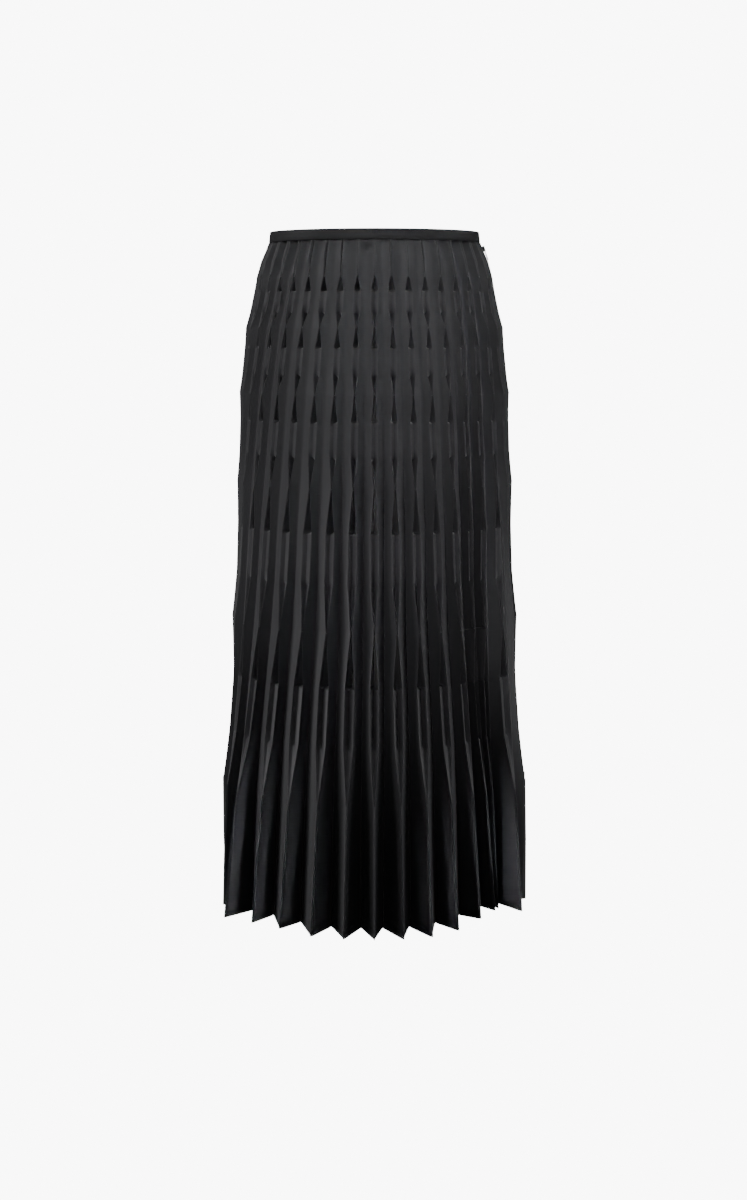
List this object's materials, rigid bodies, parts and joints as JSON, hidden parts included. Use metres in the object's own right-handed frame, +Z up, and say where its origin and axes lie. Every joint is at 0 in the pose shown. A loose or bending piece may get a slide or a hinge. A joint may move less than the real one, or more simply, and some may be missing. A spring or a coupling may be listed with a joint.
{
  "type": "pleated maxi skirt",
  "caption": "Long black skirt of knife-sharp pleats with columns of sunk diamond folds, a narrow flat waistband and a concealed side zip, worn shape with an open waist and hem.",
  "frame": {"origin": "middle of the waist, level with the top edge of the waistband, where the wearer's waist holds the skirt", "axes": "+Z up out of the waist, -Y is the front, +X is the wearer's left, where the zip is"},
  "size_m": [0.3961, 0.34, 0.853],
  "materials": {
    "cloth": "matte satin",
    "band_cloth": "matte satin",
    "zip_tape": "woven",
    "nylon": "satin",
    "enamel": "black enamel",
    "steel": "dark"
  },
  "bodies": {
    "skirt": {"front_panel": "cloth", "back_panel": "cloth", "waistband": "band_cloth", "zip_tape_front": "zip_tape", "zip_tape_back": "zip_tape", "zip_coil": "nylon", "zip_bottom_stop": "enamel", "zip_slider": "enamel", "waist_hook": "steel", "waist_eye": "steel"},
    "pull": {"zip_pull": "enamel"}
  },
  "joints": [
    {"name": "zip_pull_swing", "type": "hinge", "parent": "skirt", "child": "pull", "pos_m": [0.13463, 0, -0.01842], "axis": [0, -1, 0], "range_deg": [0, 95]}
  ]
}
